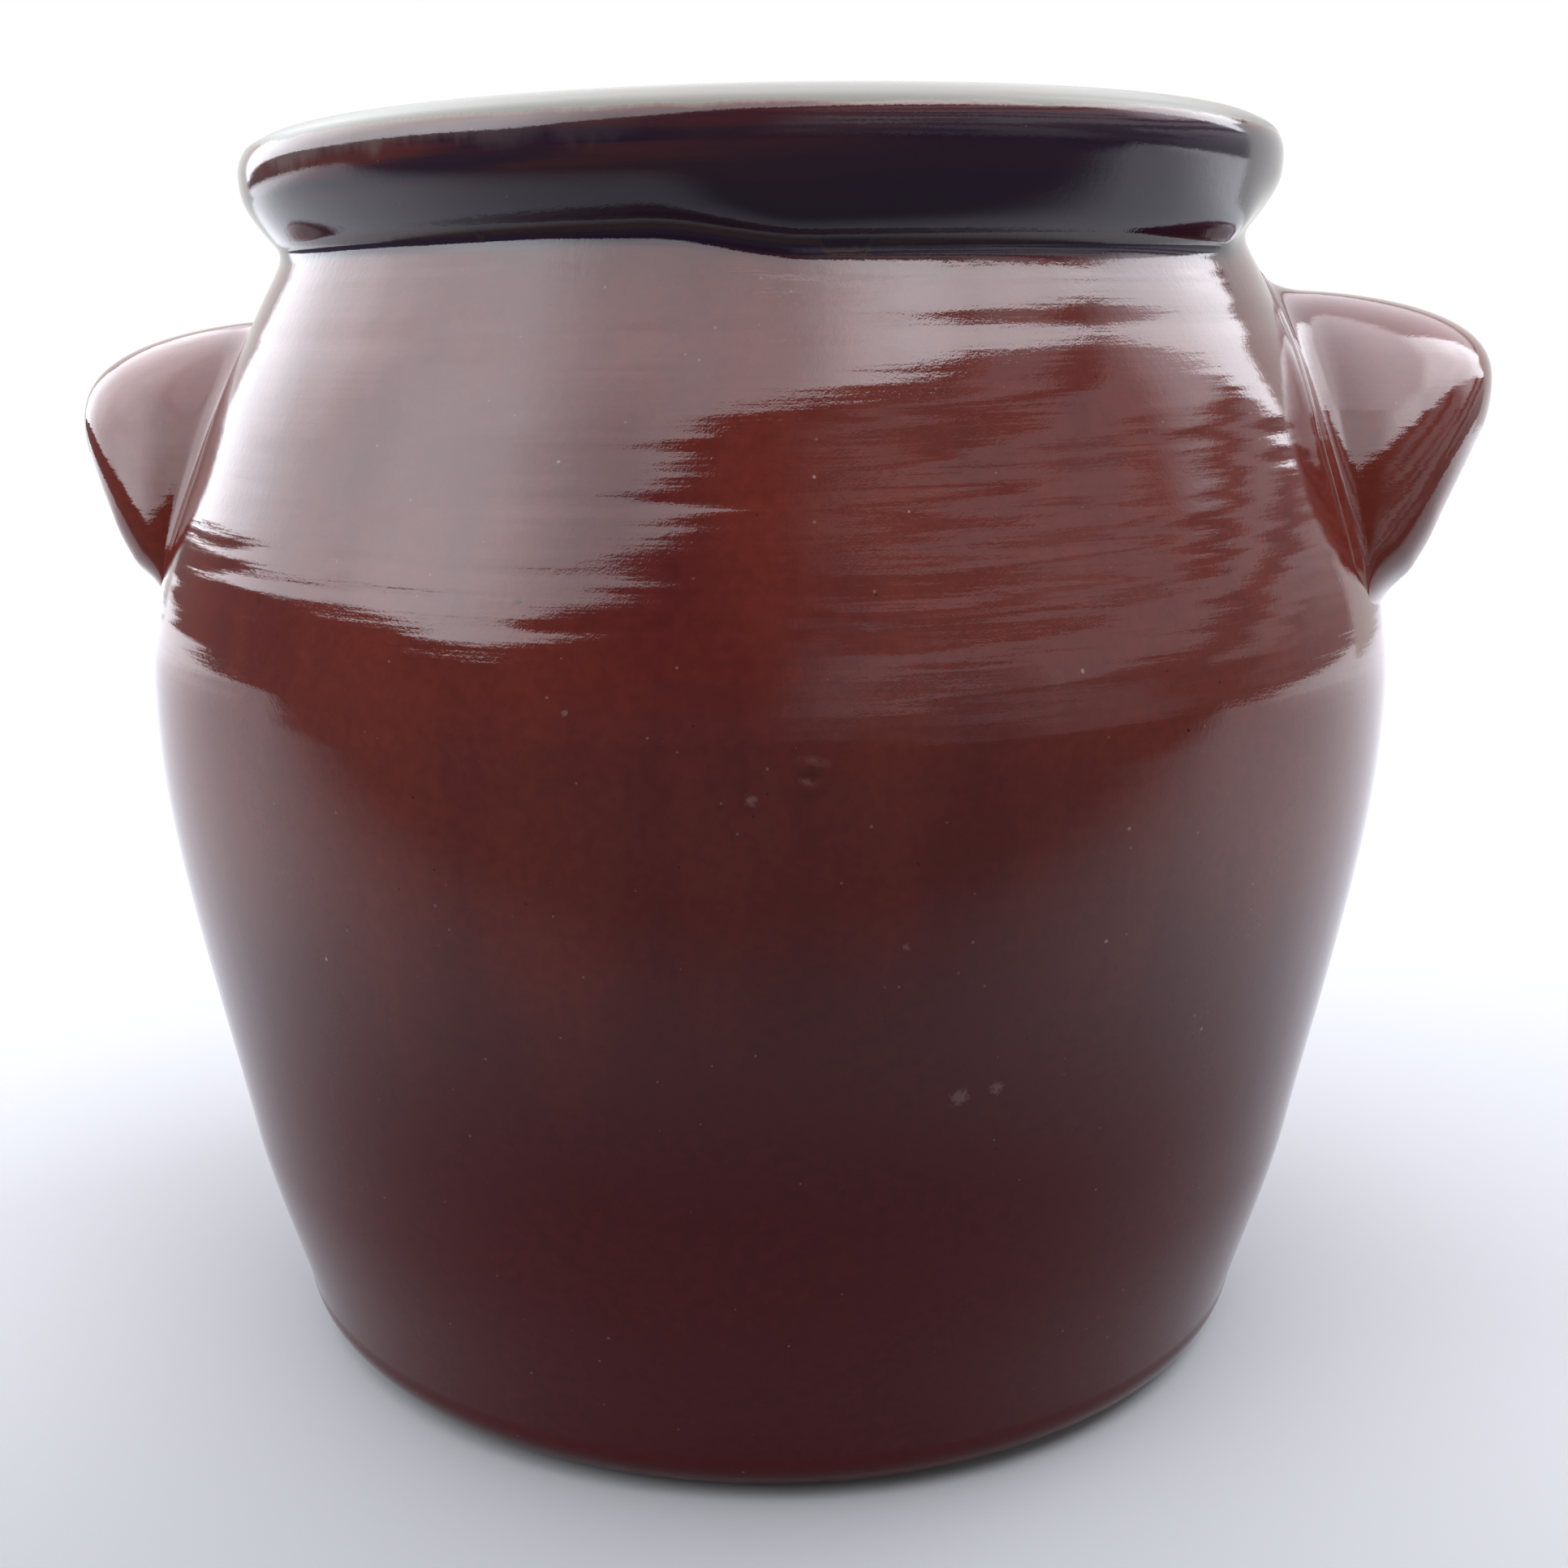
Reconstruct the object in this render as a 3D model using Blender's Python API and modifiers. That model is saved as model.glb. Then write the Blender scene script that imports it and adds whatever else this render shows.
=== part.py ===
"""Confit jar: a thrown stoneware jar with a rolled rim and two ear lugs.

The jar is three pieces of clay. The body is thrown on the wheel in one piece, from its flat
foot to its rolled rim. Each ear lug is a pinched half bowl of clay that is pressed onto the
shoulder, with its mouth downwards, so that fingers go under it.

Frame: metres, +Z up, the jar stands on Z = 0 with its foot centred on the origin. The lugs
stand at +X and -X.
"""
from math import copysign, cos, pi, radians, sin

import bmesh
import bpy
from mathutils import Matrix, Vector

MM = 0.001

# Body, outside: heights above the table and drops below the rim
JAR_HEIGHT = 270 * MM
FOOT_RADIUS = 102.5 * MM
HEEL_RADIUS = 116 * MM
HEEL_HEIGHT = 11 * MM
FLANK_RADIUS = 126.6 * MM
FLANK_HEIGHT = 52 * MM
BELLY_RADIUS = 141.3 * MM
BELLY_HEIGHT = 156 * MM
SHOULDER_RADIUS = 125 * MM
SHOULDER_DROP = 60 * MM
NECK_RADIUS = 106.3 * MM
NECK_DROP = 23.5 * MM

# Rolled rim
RIM_RADIUS = 114.3 * MM
RIM_BULGE_DROP = 6.2 * MM
RIM_CREST_RADIUS = 105 * MM
RIM_LIP_RADIUS = 97.5 * MM
RIM_LIP_DROP = 6 * MM

# Wall and floor
WALL = 9 * MM
FLOOR = 12 * MM
FLOOR_CORNER = 20 * MM

# Ear lugs
EAR_HALF_ANGLE = radians(25)
EAR_TOP_DROP = 36.5 * MM
EAR_FOOT_DROP = 100 * MM
EAR_TIP_HALF_ANGLE = radians(20)
EAR_TIP_DROP = 56.5 * MM
EAR_REACH = 20 * MM
EAR_FOOT_PROUD = 5 * MM
EAR_ARCH_POWER = 1.55
EAR_CURL = radians(122)
EAR_OUT_POWER = 1.11
EAR_DOWN_POWER = 0.77
EAR_THICKNESS = 9 * MM
EAR_ROOT = 8 * MM
RIGHT_EAR_RAISED = 1 * MM

# Clay lies this far from clay where two pieces meet
LUTE_GAP = 0.3 * MM

# The neck and the lugs lean to one side, as they were thrown and set by hand
LEAN = radians(1.4)
LEAN_START_DROP = 145 * MM
LEAN_END_DROP = 45 * MM
LEAN_PIVOT_DROP = 105 * MM

# Finish
GLAZE_COLOUR = (0.065, 0.012, 0.008)
GLAZE_ROUGHNESS = 0.12
SHARP_ANGLE = radians(40)

# Fineness
TURN_STEPS = 72
OUTER_SPACING = 9 * MM
RIM_SPACING = 2.6 * MM
INNER_SPACING = 14 * MM
EAR_ARCH_FACES = 14
EAR_BULGE_FACES = 8
MERGE = 0.05 * MM


def clear_scene():
    """Remove everything that the file holds, without closing it."""
    for item in list(bpy.data.objects):
        bpy.data.objects.remove(item, do_unlink=True)


def new_collection(name):
    """Add a collection to the scene."""
    made = bpy.data.collections.new(name)
    bpy.context.scene.collection.children.link(made)
    return made


def new_material(name, colour, roughness):
    """A glazed or bare clay finish."""
    made = bpy.data.materials.new(name)
    made.use_nodes = True
    made.diffuse_color = (*colour, 1)
    shader = made.node_tree.nodes["Principled BSDF"]
    shader.inputs["Base Color"].default_value = (*colour, 1)
    shader.inputs["Roughness"].default_value = roughness
    shader.inputs["Metallic"].default_value = 0.0
    return made


def add_object(name, mesh, material, collection):
    """Put a mesh in the scene as one named piece."""
    made = bpy.data.objects.new(name, mesh)
    collection.objects.link(made)
    if material:
        made.data.materials.append(material)
    return made


def smooth_through(stations, spacing):
    """Points along a smooth curve through (radius, height) stations, about spacing apart."""
    first = stations[0] * 2 - stations[1]
    last = stations[-1] * 2 - stations[-2]
    guide = [first, *stations, last]
    points = []
    for before, start, end, after in zip(guide, guide[1:], guide[2:], guide[3:]):
        span = (end - start).length
        slope_in = (end - before) * (span / ((start - before).length + span))
        slope_out = (after - start) * (span / ((after - end).length + span))
        steps = max(1, round(span / spacing))
        for step in range(steps):
            t = step / steps
            points.append(
                start * (2 * t**3 - 3 * t**2 + 1)
                + slope_in * (t**3 - 2 * t**2 + t)
                + end * (3 * t**2 - 2 * t**3)
                + slope_out * (t**3 - t**2)
            )
    points.append(stations[-1].copy())
    return points


def wall_stations():
    """The outside of the wall from the neck down to the heel."""
    return [
        Vector((NECK_RADIUS, JAR_HEIGHT - NECK_DROP)),
        Vector((SHOULDER_RADIUS, JAR_HEIGHT - SHOULDER_DROP)),
        Vector((BELLY_RADIUS, BELLY_HEIGHT)),
        Vector((FLANK_RADIUS, FLANK_HEIGHT)),
        Vector((HEEL_RADIUS, HEEL_HEIGHT)),
    ]


def rim_outline():
    """The rolled rim from its inner lip over the crest and the bulge to the neck."""
    lip = Vector((RIM_LIP_RADIUS, JAR_HEIGHT - RIM_LIP_DROP))
    crest = Vector((RIM_CREST_RADIUS, JAR_HEIGHT))
    bulge = Vector((RIM_RADIUS, JAR_HEIGHT - RIM_BULGE_DROP))
    neck = wall_stations()[0]
    under = (bulge + neck) / 2
    return smooth_through([lip, crest, bulge, under, neck], RIM_SPACING)


def outer_outline():
    """The whole outside, from the neck down to the centre of the foot."""
    wall = smooth_through(wall_stations(), OUTER_SPACING)
    heel = [
        Vector((
            FOOT_RADIUS + (HEEL_RADIUS - FOOT_RADIUS) * cos(angle),
            HEEL_HEIGHT * (1 - sin(angle)),
        ))
        for angle in (radians(22.5), radians(45), radians(67.5))
    ]
    return [*wall, *heel, Vector((FOOT_RADIUS, 0)), Vector((0, 0))]


def inner_outline():
    """The inside, from the centre of the floor up the wall to the inner lip."""
    lip = Vector((RIM_LIP_RADIUS, JAR_HEIGHT - RIM_LIP_DROP))
    inside = [Vector((point.x - WALL, point.y)) for point in wall_stations()[:-1]]
    inside[0].y -= WALL / 2
    flank = inside[-1]
    flank_slope = (inside[-2].x - flank.x) / (inside[-2].y - flank.y)
    corner_height = FLOOR + FLOOR_CORNER
    corner_radius = flank.x - flank_slope * (flank.y - corner_height)
    corner = [
        Vector((
            corner_radius - FLOOR_CORNER * (1 - sin(angle)),
            corner_height - FLOOR_CORNER * cos(angle),
        ))
        for angle in (0, radians(30), radians(60))
    ]
    corner_top = Vector((corner_radius, corner_height))
    wall = smooth_through([corner_top, *reversed(inside), lip], INNER_SPACING)
    return [Vector((0, FLOOR)), Vector((corner[0].x / 2, FLOOR)), *corner, *wall[:-1]]


def turned_object(name, outline, material, collection):
    """Turn an outline of (radius, height) points about the jar's axis."""
    mesh = bpy.data.meshes.new(name)
    corners = [(point.x, 0, point.y) for point in outline]
    edges = [(index, index + 1) for index in range(len(corners) - 1)]
    mesh.from_pydata(corners, edges, [])
    made = add_object(name, mesh, material, collection)
    screw = made.modifiers.new("turn", "SCREW")
    screw.axis = "Z"
    screw.angle = 2 * pi
    screw.steps = TURN_STEPS
    screw.render_steps = TURN_STEPS
    screw.use_merge_vertices = True
    screw.merge_threshold = MERGE
    screw.use_smooth_shade = True
    return made


def wall_radius(height):
    """Outside radius of the wall at a height, read from its outline."""
    outline = outer_outline()
    for upper, lower in zip(outline, outline[1:]):
        if lower.y <= height <= upper.y and upper.y > lower.y:
            share = (height - lower.y) / (upper.y - lower.y)
            return lower.x + (upper.x - lower.x) * share
    return outline[0].x


def wall_cutter(collection):
    """The body's outside as one plug, a lute gap larger, that cuts the lugs to their seat."""
    raised = [Vector((point.x + LUTE_GAP, point.y)) for point in outer_outline()[:-1]]
    above = [Vector((0, JAR_HEIGHT)), Vector((raised[0].x, JAR_HEIGHT))]
    below = [Vector((raised[-1].x, -LUTE_GAP)), Vector((0, -LUTE_GAP))]
    made = turned_object("wall_cutter", [*above, *raised[:-1], *below], None, collection)
    made.hide_render = True
    made.display_type = "WIRE"
    return made


def ear_point(arch, bulge):
    """A point on an ear's outer face.

    arch runs from -1 at the front foot over the top to 1 at the back foot, and bulge from 0
    at the wall to 1 at the lip of the mouth. A bulge below 0 lies at the root, inside the wall.
    """
    turn = arch * pi / 2
    crown = cos(turn)
    foot_height = JAR_HEIGHT - EAR_FOOT_DROP
    root_height = foot_height + (EAR_FOOT_DROP - EAR_TOP_DROP) * crown
    root_radius = wall_radius(root_height)
    tip_height = foot_height + (EAR_FOOT_DROP - EAR_TIP_DROP) * crown
    foot_radius = wall_radius(foot_height) + EAR_FOOT_PROUD
    tip_radius = foot_radius + (BELLY_RADIUS + EAR_REACH - foot_radius) * crown**EAR_ARCH_POWER
    if bulge < 0:
        outwards = -EAR_ROOT / (tip_radius - root_radius)
        downwards = 0
    else:
        curl = bulge * EAR_CURL
        outwards = sin(curl) ** EAR_OUT_POWER
        downwards = 1 - copysign(abs(cos(curl)) ** EAR_DOWN_POWER, cos(curl))
    radius = root_radius + (tip_radius - root_radius) * outwards
    angle = (EAR_HALF_ANGLE + (EAR_TIP_HALF_ANGLE - EAR_HALF_ANGLE) * downwards) * sin(turn)
    height = root_height + (tip_height - root_height) * downwards
    return Vector((radius * cos(angle), radius * sin(angle), height))


def ear_lug(name, turn, raised, cutter, material, collection):
    """An ear: a grid laid on the ear's outer face, thickened inwards and cut to the wall."""
    grid = bmesh.new()
    bmesh.ops.create_grid(grid, x_segments=EAR_ARCH_FACES, y_segments=EAR_BULGE_FACES, size=1)
    for vertex in grid.verts:
        row = round((vertex.co.y + 1) / 2 * EAR_BULGE_FACES)
        bulge = (row - 1) / (EAR_BULGE_FACES - 1) if row else -1
        vertex.co = ear_point(vertex.co.x, bulge)
    bmesh.ops.reverse_faces(grid, faces=grid.faces[:])
    mesh = bpy.data.meshes.new(name)
    grid.to_mesh(mesh)
    grid.free()
    made = add_object(name, mesh, material, collection)
    made.rotation_euler.z = turn
    made.location.z = raised
    shell = made.modifiers.new("thickness", "SOLIDIFY")
    shell.thickness = EAR_THICKNESS
    shell.offset = -1
    shell.use_even_offset = True
    soft = made.modifiers.new("soft", "SUBSURF")
    soft.levels = 1
    soft.render_levels = 1
    seat = made.modifiers.new("seat_on_wall", "BOOLEAN")
    seat.operation = "DIFFERENCE"
    seat.solver = "EXACT"
    seat.object = cutter
    return made


def lean_point(point):
    """Where a point of the upright jar goes as the jar leans."""
    start_height = JAR_HEIGHT - LEAN_START_DROP
    share = (point.z - start_height) / (LEAN_START_DROP - LEAN_END_DROP)
    share = min(max(share, 0), 1)
    angle = LEAN * share * share * (3 - 2 * share)
    pivot = Vector((0, 0, JAR_HEIGHT - LEAN_PIVOT_DROP))
    return pivot + Matrix.Rotation(-angle, 3, "Y") @ (point - pivot)


def set_leaning(piece):
    """Replace a piece by its evaluated mesh, leaned over in place."""
    evaluated = piece.evaluated_get(bpy.context.evaluated_depsgraph_get())
    mesh = bpy.data.meshes.new_from_object(evaluated)
    mesh.transform(piece.matrix_world)
    for vertex in mesh.vertices:
        vertex.co = lean_point(vertex.co)
    mesh.shade_smooth()
    mesh.set_sharp_from_angle(angle=SHARP_ANGLE)
    mesh.name = piece.name
    piece.modifiers.clear()
    piece.data = mesh
    piece.matrix_world = Matrix.Identity(4)


def build():
    """Make the jar's three pieces of clay."""
    clear_scene()
    jar = new_collection("confit_jar")
    glaze = new_material("brown_glaze", GLAZE_COLOUR, GLAZE_ROUGHNESS)
    body_outline = [*inner_outline(), *rim_outline()[:-1], *outer_outline()]
    body = turned_object("jar_body", body_outline, glaze, jar)
    cutter = wall_cutter(new_collection("cutters"))
    right = ear_lug("right_lug", 0, RIGHT_EAR_RAISED, cutter, glaze, jar)
    left = ear_lug("left_lug", pi, 0, cutter, glaze, jar)
    bpy.context.view_layer.update()
    for piece in (body, right, left):
        set_leaning(piece)


build()
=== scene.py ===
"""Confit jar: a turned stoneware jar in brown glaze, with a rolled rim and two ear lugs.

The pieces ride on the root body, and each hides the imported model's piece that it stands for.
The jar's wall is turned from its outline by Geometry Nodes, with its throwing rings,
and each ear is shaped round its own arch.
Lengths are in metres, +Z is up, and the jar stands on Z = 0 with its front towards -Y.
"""
from math import cos, exp, pi, radians, sin

import bpy
import numpy as np
from bpy.props import FloatProperty, FloatVectorProperty, IntProperty, PointerProperty
from mathutils import Matrix, Vector


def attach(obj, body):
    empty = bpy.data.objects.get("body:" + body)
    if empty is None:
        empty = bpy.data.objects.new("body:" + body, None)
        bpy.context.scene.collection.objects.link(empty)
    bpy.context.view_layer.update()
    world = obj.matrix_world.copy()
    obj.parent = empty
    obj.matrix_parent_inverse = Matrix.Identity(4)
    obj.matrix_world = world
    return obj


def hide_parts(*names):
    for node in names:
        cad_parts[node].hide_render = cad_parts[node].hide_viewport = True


bl_info = {
    "name": "Confit jar",
    "version": (1, 0, 0),
    "blender": (4, 5, 0),
    "location": "View3D > Sidebar > Confit Jar",
    "description": "Turns a glazed stoneware confit jar with two ear lugs",
    "category": "Add Mesh",
}

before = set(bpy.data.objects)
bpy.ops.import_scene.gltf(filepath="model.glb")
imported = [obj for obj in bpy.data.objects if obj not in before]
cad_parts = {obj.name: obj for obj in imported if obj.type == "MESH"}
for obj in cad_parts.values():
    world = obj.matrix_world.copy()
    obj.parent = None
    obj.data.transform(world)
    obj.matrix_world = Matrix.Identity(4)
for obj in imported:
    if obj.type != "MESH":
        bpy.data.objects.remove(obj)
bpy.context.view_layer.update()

MM = 0.001

# Places on the turned wall: radii from the axis, drops from the rim and heights from the foot
LIP_RADIUS, LIP_DROP = 97.5 * MM, 6 * MM
CREST_RADIUS = 105 * MM
NECK_DROP = 23.5 * MM
SHOULDER_RADIUS, SHOULDER_DROP = 125 * MM, 60 * MM
BELLY_HEIGHT = 156 * MM
LOWER_RADIUS, LOWER_HEIGHT = 126.6 * MM, 52 * MM
HEEL_HEIGHT = 11 * MM
FLOOR_THICKNESS = 12 * MM
INSIDE_CORNER = 20 * MM

# Lean of the neck and the ears, as drops from the rim
LEAN_START_DROP = 145 * MM
LEAN_END_DROP = 45 * MM
LEAN_PIVOT_DROP = 105 * MM

# Faint hollows round the neck: drop from the rim, depth and half width, in millimetres
NECK_HOLLOWS = ((28.3, 0.05, 1.4), (41.2, 0.15, 2.3))

# The roll's lower edge hangs lower on the right: its drop, the share of it that goes outwards
# too, and the ways from the crest between which this sets in and dies out again
HEM_DROP = 3.5 * MM
HEM_OUTWARDS = 0.5
HEM_START = (17 * MM, 28 * MM)
HEM_END = (48 * MM, 33 * MM)

# What the tree that turns the wall is given
TURNING_INPUTS = (
    ("Turn Steps", "Int"), ("Seed", "Float"), ("Ring Spacing", "Float"), ("Ring Depth", "Float"),
    ("Ripple Depth", "Float"), ("Wave Depth", "Float"), ("Hem Drop", "Float"),
    ("Crater Place", "Vector"), ("Crater Depth", "Float"), ("Lean", "Float"),
    ("Lean Start", "Float"), ("Lean End", "Float"), ("Lean Pivot", "Float"),
    ("Glaze", "Material"),
)

# Section of an ear: how far it curls over, and how its faces bulge
EAR_FIRST_CURL = radians(13)
EAR_CURL = radians(122)
EAR_OUT_POWER = 1.11
EAR_DOWN_POWER = 0.77
EAR_ARCH_POWER = 1.55
EAR_ARCH_END = 0.985
EAR_STATIONS = 150
EAR_FACE_POINTS = 34

# Places on an ear: its feet as a drop from the rim, its root and tip as rises from the feet
EAR_FOOT_DROP = 103 * MM
EAR_ROOT_RISE = 66.5 * MM
EAR_TIP_RISE = 46.5 * MM
EAR_FOOT_PROUD = 4 * MM
EAR_FOOT_CROWN = 0.45
EAR_FOOT_TAPER = 0.17
EAR_TIP_NARROWER = radians(5)
EAR_OUTER_FILLET = 6.5 * MM
EAR_INNER_FILLET = 4 * MM
EAR_SINK = 2.5 * MM
EAR_FILLET_SINK = 0.4 * MM
EAR_FOOT_SINK = 0.8 * MM
RIGHT_EAR_RISE = 1.5 * MM
LEFT_EAR_NARROWER = radians(2)

# Ways from the crest at which one glaze gives over to the next, none first and full last
CREST_END = (8.6 * MM, 8.0 * MM)
TAN_END = (9.2 * MM, 8.5 * MM)
THIN_END = (14.0 * MM, 10.5 * MM)
ROLL_START = (8 * MM, 12 * MM)
RED_END = (24 * MM, 14 * MM)
ROLL_END = (34.5 * MM, 32 * MM)
BREAK_START = (28.0 * MM, 28.8 * MM)
BREAK_END = (30.2 * MM, 29.4 * MM)

# The way that the ears are given, past all that belongs to the rim
BELOW_THE_RIM = 100 * MM

# Tints where the glaze breaks or runs thin
ROLL_STREAKS = (0.085, 0.016, 0.014, 1)
BROKEN_BROWN = (0.040, 0.014, 0.009, 1)
TAN_LINE = (0.17, 0.10, 0.06, 1)
CREST_SPECKLE = (0.25, 0.19, 0.13, 1)

# Flaws in the glaze: angle to the right of the front in degrees, then millimetres: height, size
CRATER = (9, 157)
CRATER_DEPTH = 0.7 * MM
PALE_SPECKS = (
    (10, 205, 0.4), (17, 199, 0.35), (-10, 208, 0.4), (29, 172, 0.5), (33, 144, 0.5),
    (-31, 114, 0.5), (44, 99, 0.45), (32, 123, 0.5),
)
SCUFFS = ((5, 153, 1.2), (21, 95, 2.2), (24, 96, 1.6), (16, 126, 0.9), (-8, 167, 0.8))
DARK_PITS = ((-12, 185, 0.9), (-20, 150, 0.4), (38, 160, 0.5))

# Each kind of flaw with its tint and strength
FLAWS = (
    (PALE_SPECKS, (0.34, 0.27, 0.25, 1), 0.6), (SCUFFS, (0.24, 0.15, 0.14, 1), 0.35),
    (DARK_PITS, (0.008, 0.003, 0.003, 1), 0.95),
)

# Fine specks: the draws from which and at which a cell has one, then its tint and strength
FINE_SPECKS = (
    (0.88, 0.89, (0.20, 0.11, 0.09, 1), 0.6), (0.09, 0.08, (0.020, 0.004, 0.004, 1), 0.7),
)

# Camera, from the photograph's outline
CAMERA_PLACE = (0.0494, -0.4406, 0.2314)
CAMERA_PITCH = radians(14.02)
CAMERA_YAW = radians(0.40)
CAMERA_AZIMUTH = radians(6.4)
CAMERA_ROLL = radians(-0.15)
CAMERA_LENS = 42.86

# The glowing cloth: its lower edge as (azimuth, elevation) and its top, in degrees
PANEL_LOW_EDGE = (
    (-150, 0), (-138, 1), (-121, 7), (-112, 10), (-100, 12), (-90, 14), (-70, 18), (-45, 19),
    (-36, 25), (-25, 31), (-14, 38), (-3, 45), (30, 50), (60, 50), (96, 42), (118, 25),
    (126, 16), (137, 10),
)
PANEL_TOP = 62
PANEL_DISTANCE = 6.0
PANEL_CENTRE = 0.16
PANEL_STEPS = 120
PANEL_LEVELS = 8

# The floor and the backdrop
FLOOR_REACH = 8.0
FLOOR_DARKER = (-0.40, -0.04)
FLOOR_PALER = (0.1, 1.4)
WHITE = (0.8, 0.8, 0.8, 1)
BACKDROP_RADIUS = 2.6
BACKDROP_HEIGHT = 1.2
BACKDROP_ANGLES = (0.22 * pi, 0.75 * pi)
BACKDROP_STEPS = 40


class JarSizes(bpy.types.PropertyGroup):
    """Sizes of the turned jar and its ears."""

    height: FloatProperty(
        name="Height", description="Height of the rim's crest before it leans",
        default=270 * MM, unit="LENGTH",
    )
    foot_radius: FloatProperty(
        name="Foot Radius", description="Radius of the flat foot",
        default=102.5 * MM, unit="LENGTH",
    )
    heel_radius: FloatProperty(
        name="Heel Radius", description="Radius above the rounded heel",
        default=116 * MM, unit="LENGTH",
    )
    belly_radius: FloatProperty(
        name="Belly Radius", description="Widest radius of the wall",
        default=141.3 * MM, unit="LENGTH",
    )
    neck_radius: FloatProperty(
        name="Neck Radius", description="Radius of the neck under the rim",
        default=106.3 * MM, unit="LENGTH",
    )
    rim_radius: FloatProperty(
        name="Rim Radius", description="Radius of the rolled rim's bulge",
        default=114.3 * MM, unit="LENGTH",
    )
    wall: FloatProperty(
        name="Wall", description="Thickness of the wall",
        default=9 * MM, unit="LENGTH",
    )
    ear_reach: FloatProperty(
        name="Ear Reach", description="How far the ears stand out beyond the belly",
        default=20 * MM, unit="LENGTH",
    )
    ear_half_angle: FloatProperty(
        name="Ear Half Angle", description="Half of the angle that an ear's root spans",
        default=radians(22), subtype="ANGLE",
    )
    ear_thickness: FloatProperty(
        name="Ear Thickness", description="Thickness of an ear's clay",
        default=9 * MM, unit="LENGTH",
    )
    lean: FloatProperty(
        name="Lean", description="Angle by which the neck leans towards the left ear",
        default=radians(1.4), subtype="ANGLE",
    )


class ThrowingMarks(bpy.types.PropertyGroup):
    """Marks that throwing left in the wall."""

    ring_spacing: FloatProperty(
        name="Ring Spacing", description="Distance from one throwing ring to the next",
        default=3.5 * MM, unit="LENGTH",
    )
    ring_depth: FloatProperty(
        name="Ring Depth", description="Depth of the throwing rings",
        default=0.34 * MM, unit="LENGTH",
    )
    ripple_depth: FloatProperty(
        name="Ripple Depth", description="Depth of the broader ripples between the rings",
        default=0.22 * MM, unit="LENGTH",
    )
    wave_depth: FloatProperty(
        name="Wave Depth", description="Depth of the slow waves in the wall",
        default=0.5 * MM, unit="LENGTH",
    )
    turn_steps: IntProperty(
        name="Turn Steps", description="Faces round the jar", default=290, min=24,
    )
    seed: IntProperty(
        name="Seed", description="Which wall out of many like ones", default=3,
    )


class GlazeLook(bpy.types.PropertyGroup):
    """Colours of the glazes and the clay."""

    brown: FloatVectorProperty(
        name="Brown Glaze", description="The glaze where it is of middling thickness",
        default=(0.118, 0.0175, 0.0100), subtype="COLOR", min=0, max=1,
    )
    plum: FloatVectorProperty(
        name="Plum Glaze", description="The glaze where it lies thick",
        default=(0.060, 0.0062, 0.0075), subtype="COLOR", min=0, max=1,
    )
    dark: FloatVectorProperty(
        name="Dark Glaze", description="The glaze that has gathered on the roll of the rim",
        default=(0.0095, 0.0020, 0.0165), subtype="COLOR", min=0, max=1,
    )
    thin: FloatVectorProperty(
        name="Thin Glaze", description="The glaze where it has run thin over the rim",
        default=(0.17, 0.12, 0.105), subtype="COLOR", min=0, max=1,
    )
    pale: FloatVectorProperty(
        name="Pale Glaze", description="The pale glaze of the crest and the inside",
        default=(0.21, 0.203, 0.176), subtype="COLOR", min=0, max=1,
    )
    clay: FloatVectorProperty(
        name="Bare Clay", description="The fired clay at the foot",
        default=(0.46, 0.40, 0.33), subtype="COLOR", min=0, max=1,
    )


class StudioSet(bpy.types.PropertyGroup):
    """The floor and the lights."""

    floor_colour: FloatVectorProperty(
        name="Floor Colour", description="Colour of the plain floor",
        default=(0.42, 0.42, 0.43), subtype="COLOR", min=0, max=1,
    )
    front_colour: FloatVectorProperty(
        name="Front Floor Colour", description="Colour of the floor well in front of the jar",
        default=(0.07, 0.07, 0.07), subtype="COLOR", min=0, max=1,
    )
    panel_radiance: FloatProperty(
        name="Panel Radiance", description="Brightness of the glowing cloth",
        default=2.6, min=0,
    )
    world_strength: FloatProperty(
        name="Room Strength", description="Brightness of the rest of the room",
        default=0.09, min=0,
    )


def wall_stations(sizes):
    """The outside of the wall from the neck down to the heel, as (radius, height) points."""
    return [
        Vector((sizes.neck_radius, sizes.height - NECK_DROP)),
        Vector((SHOULDER_RADIUS, sizes.height - SHOULDER_DROP)),
        Vector((sizes.belly_radius, BELLY_HEIGHT)),
        Vector((LOWER_RADIUS, LOWER_HEIGHT)),
        Vector((sizes.heel_radius, HEEL_HEIGHT)),
    ]


def smooth_through(stations, spacing):
    """Points along a smooth curve through (radius, height) stations, about spacing apart."""
    first = stations[0] * 2 - stations[1]
    last = stations[-1] * 2 - stations[-2]
    guide = [first, *stations, last]
    points = []
    for before, start, end, after in zip(guide, guide[1:], guide[2:], guide[3:]):
        span = (end - start).length
        slope_in = (end - before) * (span / ((start - before).length + span))
        slope_out = (after - start) * (span / ((after - end).length + span))
        steps = max(1, round(span / spacing))
        for step in range(steps):
            t = step / steps
            points.append(
                start * (2 * t**3 - 3 * t**2 + 1)
                + slope_in * (t**3 - 2 * t**2 + t)
                + end * (3 * t**2 - 2 * t**3)
                + slope_out * (t**3 - t**2)
            )
    points.append(stations[-1].copy())
    return points


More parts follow.
